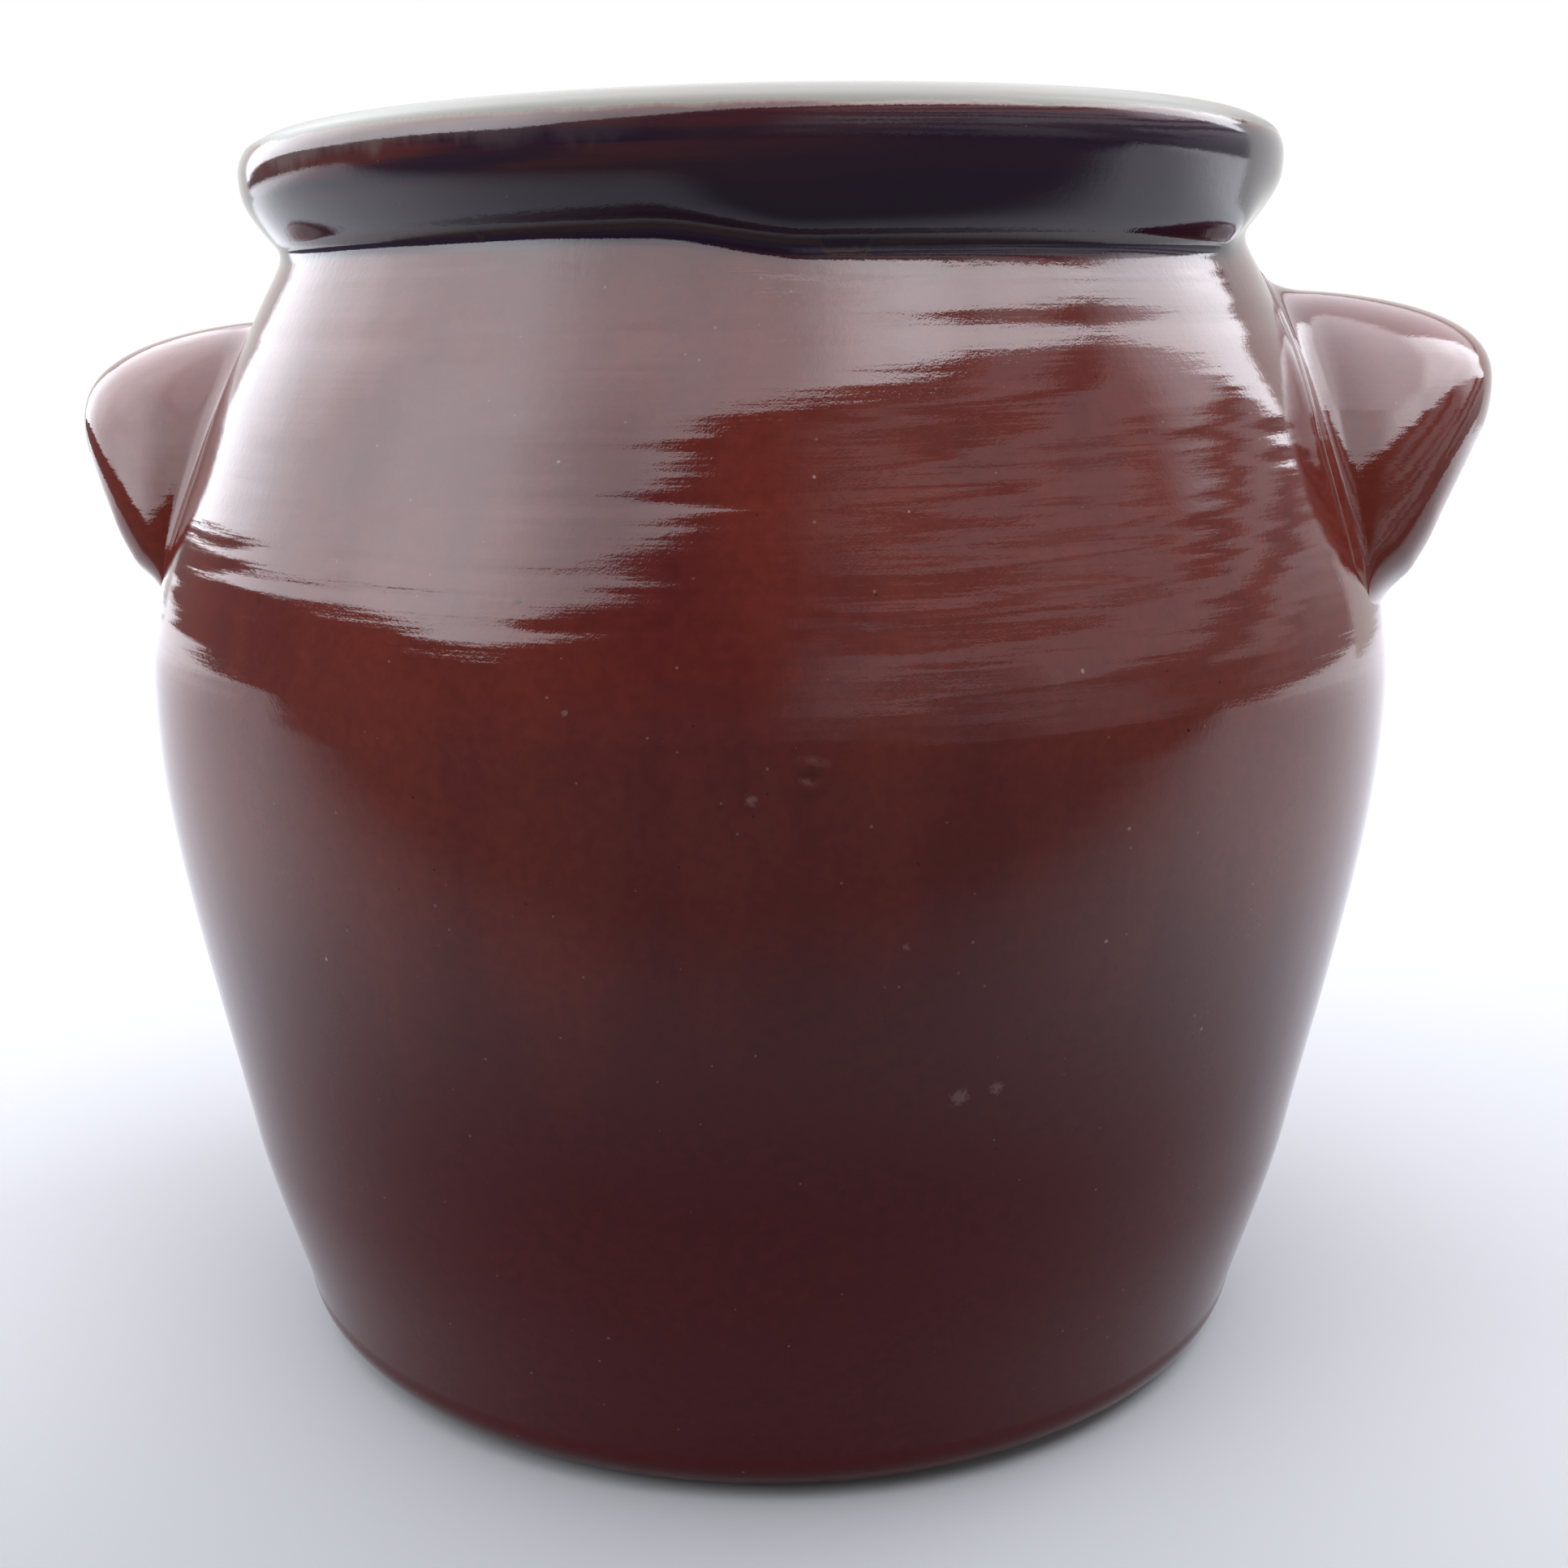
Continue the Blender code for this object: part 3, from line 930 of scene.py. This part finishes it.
def step_length(step, radius):
    """The length of a step that is given as radius, angle and height."""
    return np.hypot(np.hypot(step[0], step[2]), step[1] * radius)


def ear_lip(outer, inner):
    """The round edge that joins the ends of an ear's outer and inner faces."""
    tail, head = outer[-1], inner[-1]
    middle = (tail + head) / 2
    across = tail - head
    onward = tail - outer[-2]
    across_size = step_length(across, tail[0])
    onward = onward / max(step_length(onward, tail[0]), 1e-6) * across_size / 2 * 0.8
    return [
        middle + across / 2 * cos(step) + onward * sin(step)
        for step in np.linspace(0, pi, 11)[1:-1]
    ]


def ear_loop(arch, sizes, half_angle, table):
    """The points round an ear's section at one step of its arch, tapered at the ear's feet."""
    heights, radii = table
    turn = arch * pi / 2
    curls = np.concatenate([[0], np.linspace(EAR_FIRST_CURL, EAR_CURL, EAR_FACE_POINTS)])
    outer = ear_section(arch, sizes, half_angle, table, 0, curls)
    inner = ear_section(arch, sizes, half_angle, table, sizes.ear_thickness, curls)
    outer_start = fillet(outer, turn, 1, EAR_OUTER_FILLET, table, 9)
    inner_start = fillet(inner, turn, -1, EAR_INNER_FILLET, table, 6)
    sink = [EAR_SINK, 0, 0]
    loop = np.vstack([
        outer_start[0] - sink, outer_start, outer[2:], ear_lip(outer, inner),
        inner[:1:-1], inner_start[::-1], inner_start[0] - sink,
    ])
    wall = np.interp(loop[:, 2], heights, radii)
    taper = eased(np.clip((1 - abs(arch)) / EAR_FOOT_TAPER, 0, 1))
    proud = loop[:, 0] - wall
    tapered = wall + np.where(proud > 0, proud * taper, proud)
    loop[:, 0] = tapered - EAR_FOOT_SINK * (1 - taper)
    return loop


def ear_mesh(name, sizes, side, raised, half_angle):
    """An ear as a closed shell: a loop of points round its section at each step of its arch."""
    table = wall_table(sizes)
    arches = np.sin(np.linspace(-1, 1, EAR_STATIONS) * pi / 2 * EAR_ARCH_END)
    loops = np.array([ear_loop(arch, sizes, half_angle, table) for arch in arches])
    flip = 0 if side > 0 else pi
    radius, angle, height = loops[..., 0], loops[..., 1] + flip, loops[..., 2] + raised
    upright = np.stack([radius * np.cos(angle), radius * np.sin(angle), height], -1)
    upright = upright.reshape(-1, 3)
    count, size = loops.shape[:2]
    faces = []
    for row in range(count - 1):
        for column in range(size):
            beside = (column + 1) % size
            faces.append((
                row * size + column, row * size + beside,
                (row + 1) * size + beside, (row + 1) * size + column,
            ))
    faces.append(tuple(reversed(range(size))))
    faces.append(tuple((count - 1) * size + column for column in range(size)))
    mesh = bpy.data.meshes.new(name)
    mesh.from_pydata(lean_points(upright, sizes).tolist(), [], faces)
    store(mesh, "upright", upright)
    store(mesh, "way", np.full(len(upright), BELOW_THE_RIM))
    mesh.validate()
    mesh.update()
    mesh.shade_smooth()
    return mesh


def add_object(name, data):
    """Put data in the scene as one named object at the origin."""
    made = bpy.data.objects.new(name, data)
    bpy.context.scene.collection.objects.link(made)
    return made


class ThrowJarBody(bpy.types.Operator):
    """Turn the jar's body, with its throwing rings and its glaze"""

    bl_idname = "confit_jar.throw_body"
    bl_label = "Throw Jar Body"

    def execute(self, context):
        scene = context.scene
        sizes, marks = scene.confit_jar_sizes, scene.confit_jar_marks
        body = add_object("glazed_body", outline_mesh(sizes))
        glaze = glaze_material(scene.confit_jar_look, sizes, "brown_glaze_and_pale_crest")
        tree = turning_tree()
        modifier = body.modifiers.new("turning", "NODES")
        values = {
            "Turn Steps": marks.turn_steps, "Seed": float(marks.seed),
            "Ring Spacing": marks.ring_spacing, "Ring Depth": marks.ring_depth,
            "Ripple Depth": marks.ripple_depth, "Wave Depth": marks.wave_depth,
            "Hem Drop": HEM_DROP, "Crater Place": wall_place(sizes, *CRATER),
            "Crater Depth": CRATER_DEPTH,
            "Lean": sizes.lean, "Lean Start": sizes.height - LEAN_START_DROP,
            "Lean End": sizes.height - LEAN_END_DROP,
            "Lean Pivot": sizes.height - LEAN_PIVOT_DROP, "Glaze": glaze,
        }
        modifier.node_group = tree
        for item in tree.interface.items_tree:
            if item.name in values:
                modifier[item.identifier] = values[item.name]
        evaluated = body.evaluated_get(context.evaluated_depsgraph_get())
        mesh = bpy.data.meshes.new_from_object(evaluated)
        if not mesh.polygons:
            raise RuntimeError("the turned wall has no faces")
        body.modifiers.clear()
        mesh.name = "glazed_body"
        body.data = mesh
        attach(body, "root")
        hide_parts("jar_body")
        return {"FINISHED"}


class ShapeEars(bpy.types.Operator):
    """Shape the two ear lugs and set them on the shoulder"""

    bl_idname = "confit_jar.shape_ears"
    bl_label = "Shape Ear Lugs"

    def execute(self, context):
        scene = context.scene
        sizes = scene.confit_jar_sizes
        glaze = bpy.data.materials["brown_glaze_and_pale_crest"]
        wide = sizes.ear_half_angle
        for name, node, side, raised, half_angle in (
            ("right_ear", "right_lug", 1, RIGHT_EAR_RISE, wide),
            ("left_ear", "left_lug", -1, 0.0, wide - LEFT_EAR_NARROWER),
        ):
            ear = add_object(name, ear_mesh(name, sizes, side, raised, half_angle))
            ear.data.materials.append(glaze)
            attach(ear, "root")
            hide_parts(node)
        return {"FINISHED"}


def sky_point(azimuth, elevation, distance):
    """A point in a direction from the jar. Azimuth 0 is to the front and 90 to the right."""
    az, el = radians(azimuth), radians(elevation)
    away = Vector((sin(az) * cos(el), -cos(az) * cos(el), sin(el)))
    return away * distance + Vector((0, 0, PANEL_CENTRE))


def cloth_mesh():
    """The cloth's faces, from its curved lower edge up to its level top."""
    azimuths = np.linspace(PANEL_LOW_EDGE[0][0], PANEL_LOW_EDGE[-1][0], PANEL_STEPS)
    low = np.interp(azimuths, *zip(*PANEL_LOW_EDGE))
    corners = [
        sky_point(azimuth, start + (PANEL_TOP - start) * level / PANEL_LEVELS, PANEL_DISTANCE)
        for azimuth, start in zip(azimuths, low) for level in range(PANEL_LEVELS + 1)
    ]
    size = PANEL_LEVELS + 1
    faces = [
        (row * size + level, row * size + level + 1, (row + 1) * size + level + 1,
         (row + 1) * size + level)
        for row in range(PANEL_STEPS - 1) for level in range(PANEL_LEVELS)
    ]
    mesh = bpy.data.meshes.new("glowing_cloth")
    mesh.from_pydata(corners, [], faces)
    return mesh


def glow_material(studio):
    """The cloth's glow: brighter to the right and left, a little uneven, fading at the top."""
    glow = bpy.data.materials.new("glow")
    glow.use_nodes = True
    tree = glow.node_tree
    tree.nodes.clear()
    place = add_node(tree, "ShaderNodeTexCoord", out="Object")
    spot = split_xyz(tree, place)
    uneven = cloud(tree, place, 1.5 / PANEL_DISTANCE, detail=3.0, seed=1.0)
    right = ramp(tree, spot["X"], 0.08 * PANEL_DISTANCE, 0.42 * PANEL_DISTANCE, 0.0, 1.3)
    left = ramp(tree, spot["X"], -0.3 * PANEL_DISTANCE, -0.7 * PANEL_DISTANCE, 0.0, 0.45)
    share = calc(tree, "ADD", calc(tree, "ADD", right, left), 1.0)
    fading = ramp(
        tree, spot["Z"], PANEL_CENTRE + PANEL_DISTANCE * sin(radians(PANEL_TOP - 4)),
        PANEL_CENTRE + PANEL_DISTANCE * sin(radians(PANEL_TOP)), 1.0, 0.85
    )
    strength = calc(
        tree, "MULTIPLY", calc(tree, "MULTIPLY", share, fading),
        calc(tree, "MULTIPLY", studio.panel_radiance, ramp(tree, uneven, 0.3, 0.7, 0.8, 1.2)),
    )
    light = add_node(
        tree, "ShaderNodeEmission", {"Color": (0.91, 0.94, 1.0, 1), "Strength": strength}
    )
    tree.links.new(light, tree.nodes.new("ShaderNodeOutputMaterial").inputs["Surface"])
    return glow


def glowing_cloth(studio):
    """A soft cloth that glows round the front and sides of the jar."""
    mesh = cloth_mesh()
    mesh.materials.append(glow_material(studio))
    cloth = add_object("glowing_cloth", mesh)
    cloth.visible_camera = False


def matt_paper(name):
    """A new material of matt paper."""
    paper = bpy.data.materials.new(name)
    paper.use_nodes = True
    inputs = paper.node_tree.nodes["Principled BSDF"].inputs
    inputs["Base Color"].default_value = WHITE
    inputs["Roughness"].default_value = 0.9
    inputs["Specular IOR Level"].default_value = 0.0
    return paper


def pale_floor(studio):
    """The floor, which is darker well in front of the jar and grows white behind it."""
    mesh = bpy.data.meshes.new("floor")
    reach = FLOOR_REACH
    mesh.from_pydata(
        [(-reach, -reach, 0), (reach, -reach, 0), (reach, reach, 0), (-reach, reach, 0)],
        [], [(0, 1, 2, 3)],
    )
    paper = matt_paper("pale_floor")
    tree = paper.node_tree
    back = split_xyz(tree, add_node(tree, "ShaderNodeTexCoord", out="Object"))["Y"]
    colour = mix(
        tree, ramp(tree, back, *FLOOR_DARKER), (*studio.front_colour, 1),
        (*studio.floor_colour, 1),
    )
    colour = mix(tree, ramp(tree, back, *FLOOR_PALER), colour, WHITE)
    tree.links.new(colour, tree.nodes["Principled BSDF"].inputs["Base Color"])
    mesh.materials.append(paper)
    add_object("floor", mesh)


def white_backdrop():
    """A white backdrop behind the floor, which looks evenly lit but gives no light itself."""
    angles = np.linspace(*BACKDROP_ANGLES, BACKDROP_STEPS + 1)
    ring = [(BACKDROP_RADIUS * cos(angle), BACKDROP_RADIUS * sin(angle)) for angle in angles]
    size = BACKDROP_STEPS + 1
    mesh = bpy.data.meshes.new("backdrop")
    mesh.from_pydata(
        [(x, y, z) for z in (0, BACKDROP_HEIGHT) for x, y in ring], [],
        [(step, step + 1, step + 1 + size, step + size) for step in range(BACKDROP_STEPS)],
    )
    paper = matt_paper("white_backdrop")
    tree = paper.node_tree
    path = add_node(tree, "ShaderNodeLightPath").node.outputs
    seen = calc(tree, "MAXIMUM", path["Is Camera Ray"], calc(
        tree, "MAXIMUM", path["Is Glossy Ray"], path["Is Transmission Ray"]
    ))
    light = add_node(tree, "ShaderNodeEmission", {"Strength": 1.0})
    shown = add_node(tree, "ShaderNodeMixShader", {
        0: seen, 1: tree.nodes["Principled BSDF"].outputs[0], 2: light,
    })
    tree.links.new(shown, tree.nodes["Material Output"].inputs["Surface"])
    mesh.materials.append(paper)
    add_object("backdrop", mesh)


def grey_room(studio):
    """The grey world: soft level bands on the right, and bright above and behind the jar."""
    world = bpy.data.worlds.new("grey_room")
    world.use_nodes = True
    tree = world.node_tree
    way = add_node(tree, "ShaderNodeTexCoord", out="Generated")
    facing = split_xyz(tree, way)
    low = ramp(tree, facing["Z"], 0.45, 0.0, 0.0, 1.0)
    bands = cloud(tree, way, 1.0, detail=2.0, stretch=(1.1, 1.1, 14), seed=1.0)
    right = calc(
        tree, "MULTIPLY", ramp(tree, facing["X"], 0.05, 0.4, 0.0, 6.0),
        ramp(tree, bands, 0.45, 0.53, 0.3, 1.35),
    )
    right = calc(tree, "MULTIPLY", right, ramp(tree, facing["Z"], 0.0, 0.25, 0.35, 1.0))
    room = calc(tree, "ADD", calc(tree, "ADD", low, right), 1.0)
    overhead = calc(
        tree, "MULTIPLY", ramp(tree, facing["Z"], 0.80, 0.88, 0.0, 33.0),
        ramp(tree, facing["X"], -0.1, 0.3, 1.0, 1.5),
    )
    edge = ramp(tree, facing["X"], -0.3, 0.3, 0.18, 0.36)
    behind = calc(tree, "MULTIPLY", ramp(tree, facing["Y"], -0.1, 0.3, 0.0, 24.0), ramp(
        tree, facing["Z"], edge, calc(tree, "ADD", edge, 0.08)
    ))
    share = calc(tree, "MAXIMUM", room, calc(tree, "MAXIMUM", overhead, behind))
    background = tree.nodes["Background"]
    background.inputs["Color"].default_value = (0.93, 0.93, 1.0, 1)
    tree.links.new(
        calc(tree, "MULTIPLY", share, studio.world_strength), background.inputs["Strength"]
    )
    return world


class SetStudio(bpy.types.Operator):
    """Set the floor, the soft lights and the camera"""

    bl_idname = "confit_jar.set_studio"
    bl_label = "Set Studio"

    def execute(self, context):
        scene = context.scene
        studio = scene.confit_jar_studio
        pale_floor(studio)
        white_backdrop()
        glowing_cloth(studio)
        scene.world = grey_room(studio)
        lens = bpy.data.cameras.new("camera")
        lens.lens = CAMERA_LENS
        lens.sensor_width = 36
        lens.sensor_height = 36
        camera = add_object("camera", lens)
        camera.matrix_world = camera_matrix()
        scene.camera = camera
        scene.view_settings.view_transform = "Standard"
        return {"FINISHED"}


def camera_matrix():
    """The camera's place and turn."""
    forward = Vector((
        sin(CAMERA_YAW) * cos(CAMERA_PITCH), cos(CAMERA_YAW) * cos(CAMERA_PITCH),
        -sin(CAMERA_PITCH),
    ))
    right = Vector((cos(CAMERA_YAW), -sin(CAMERA_YAW), 0))
    down = forward.cross(right)
    across = right * cos(CAMERA_ROLL) + down * sin(CAMERA_ROLL)
    below = down * cos(CAMERA_ROLL) - right * sin(CAMERA_ROLL)
    turn = Matrix.Rotation(CAMERA_AZIMUTH, 3, "Z")
    columns = [turn @ across, turn @ -below, turn @ -forward]
    matrix = Matrix(columns).transposed().to_4x4()
    matrix.translation = Vector(CAMERA_PLACE)
    return matrix


class JarPanel(bpy.types.Panel):
    """Lists the jar's sizes, marks, glazes and studio, and the buttons that make the pieces"""

    bl_idname = "CONFIT_JAR_PT_panel"
    bl_label = "Confit Jar"
    bl_space_type = "VIEW_3D"
    bl_region_type = "UI"
    bl_category = "Confit Jar"

    def draw(self, context):
        layout = self.layout
        for group in SCENE_GROUPS:
            settings = getattr(context.scene, group)
            box = layout.box()
            for name in settings.__annotations__:
                box.prop(settings, name)
        for operator in OPERATORS:
            layout.operator(operator.bl_idname)


SCENE_GROUPS = {
    "confit_jar_sizes": JarSizes,
    "confit_jar_marks": ThrowingMarks,
    "confit_jar_look": GlazeLook,
    "confit_jar_studio": StudioSet,
}
OPERATORS = (ThrowJarBody, ShapeEars, SetStudio)
CLASSES = (*SCENE_GROUPS.values(), *OPERATORS, JarPanel)


def register():
    for item in CLASSES:
        bpy.utils.register_class(item)
    for name, group in SCENE_GROUPS.items():
        setattr(bpy.types.Scene, name, PointerProperty(type=group))


def unregister():
    for name in SCENE_GROUPS:
        delattr(bpy.types.Scene, name)
    for item in reversed(CLASSES):
        bpy.utils.unregister_class(item)


def main():
    """Register the classes and make the jar and its studio."""
    register()
    bpy.ops.confit_jar.throw_body()
    bpy.ops.confit_jar.shape_ears()
    bpy.ops.confit_jar.set_studio()


if __name__ == "__main__":
    main()
